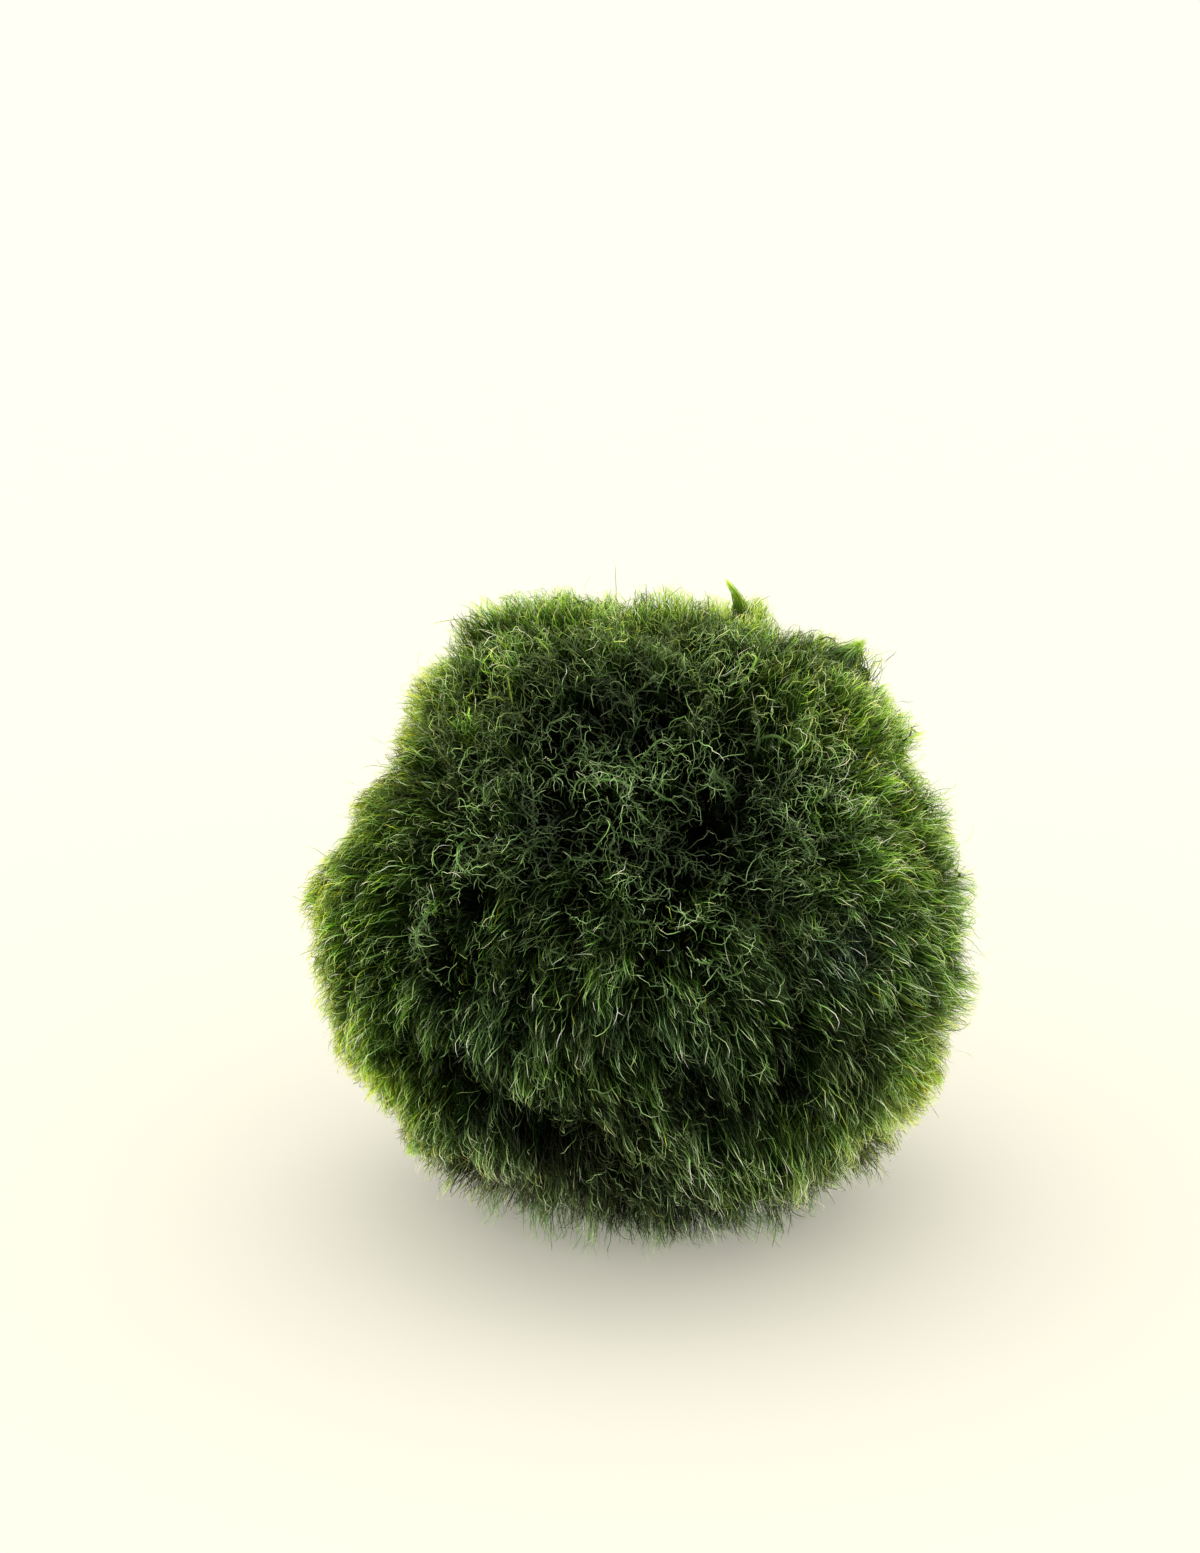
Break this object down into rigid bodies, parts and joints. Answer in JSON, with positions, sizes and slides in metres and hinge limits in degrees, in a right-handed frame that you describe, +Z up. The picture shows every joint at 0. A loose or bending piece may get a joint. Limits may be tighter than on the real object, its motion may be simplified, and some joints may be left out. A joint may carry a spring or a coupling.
{
  "type": "marimo moss ball",
  "caption": "Lumpy ball of matted green filamentous algae with dense leaning tufts, resting on a small flat spot, for the floor of an aquarium.",
  "frame": {"origin": "on the plane of the flat spot that the ball rests on, under the middle of its box", "axes": "+Z up as it rests; -Y towards the side with the crown of filaments, its best side; +X to the right of that side"},
  "size_m": [0.051, 0.049, 0.047],
  "materials": {
    "moss": "damp matted green algae filaments, dark between the tufts, yellow-green where light comes through at the rim"
  },
  "bodies": {
    "root": {"moss_ball": "moss"}
  },
  "joints": []
}
